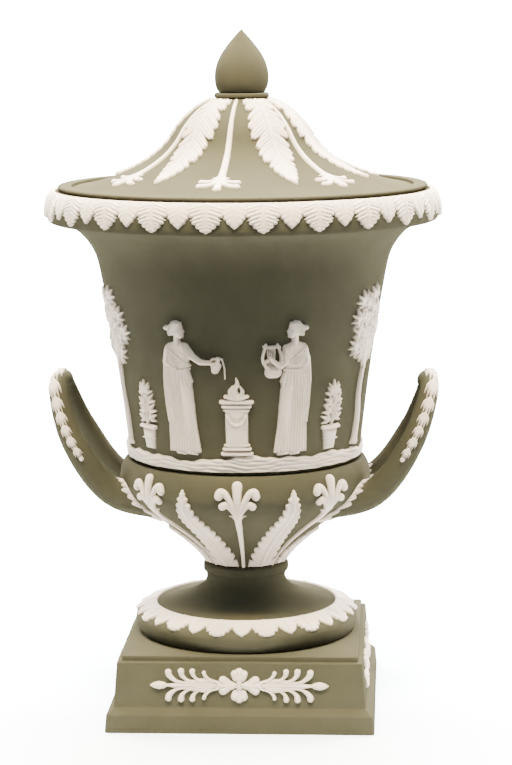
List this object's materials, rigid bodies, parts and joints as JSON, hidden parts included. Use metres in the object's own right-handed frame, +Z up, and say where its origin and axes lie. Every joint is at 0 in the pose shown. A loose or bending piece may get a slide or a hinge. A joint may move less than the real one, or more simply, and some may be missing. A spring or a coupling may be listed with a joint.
{
  "type": "lidded two-handled campana vase on a plinth",
  "caption": "Lidded campana vase of matt olive stoneware with applied white classical reliefs, upswept loop handles, a pointed finial and a square plinth.",
  "frame": {"origin": "centre of the plinth's bottom face, on the surface that the vase stands on", "axes": "+Z up along the vase's axis, -Y towards the front with the altar scene, the handles on +X and -X"},
  "size_m": [0.1785, 0.1786, 0.305],
  "materials": {
    "olive_stoneware": "matt unglazed, olive green",
    "white_relief": "matt unglazed, warm white",
    "brass_fitting": "plain turned brass",
    "cork": "raw cork"
  },
  "bodies": {
    "vase": {"plinth": "olive_stoneware", "foot": "olive_stoneware", "bowl": "olive_stoneware", "bell": "olive_stoneware", "handle_left": "olive_stoneware", "handle_right": "olive_stoneware", "clamp_bolt": "brass_fitting", "plinth_washer": "brass_fitting", "clamp_nut": "brass_fitting", "cork_washer": "cork", "rim_border": "white_relief", "foot_border": "white_relief", "bowl_leaf_1": "white_relief", "bowl_leaf_2": "white_relief", "bowl_leaf_3": "white_relief", "bowl_leaf_4": "white_relief", "bowl_leaf_5": "white_relief", "bowl_leaf_6": "white_relief", "bowl_leaf_7": "white_relief", "bowl_leaf_8": "white_relief", "bowl_palmette_1": "white_relief", "bowl_palmette_2": "white_relief", "bowl_palmette_4": "white_relief", "bowl_palmette_5": "white_relief", "bowl_palmette_6": "white_relief", "bowl_palmette_8": "white_relief", "plinth_spray_front": "white_relief", "plinth_spray_right": "white_relief", "plinth_spray_back": "white_relief", "plinth_spray_left": "white_relief", "ground_strip": "white_relief", "pourer_front": "white_relief", "musician_front": "white_relief", "pourer_back": "white_relief", "musician_back": "white_relief", "altar_front": "white_relief", "laurel_tree_left": "white_relief", "laurel_tree_right": "white_relief", "potted_shrub_left": "white_relief", "potted_shrub_right": "white_relief", "husk_chain_left": "white_relief", "husk_chain_right": "white_relief", "root_leaf_left_front": "white_relief", "root_leaf_left_back": "white_relief", "root_leaf_right_front": "white_relief", "root_leaf_right_back": "white_relief"},
    "lid": {"lid": "olive_stoneware", "finial": "olive_stoneware", "lid_leaf_1": "white_relief", "lid_leaf_2": "white_relief", "lid_leaf_3": "white_relief", "lid_leaf_4": "white_relief", "lid_leaf_5": "white_relief", "lid_leaf_6": "white_relief", "lid_palmette_1": "white_relief", "lid_palmette_2": "white_relief", "lid_palmette_3": "white_relief", "lid_palmette_4": "white_relief", "lid_palmette_5": "white_relief", "lid_palmette_6": "white_relief"}
  },
  "joints": [
    {"name": "lid_lift", "type": "slide", "parent": "vase", "child": "lid", "axis": [0, 0, 1], "range_m": [0, 0.12]}
  ]
}
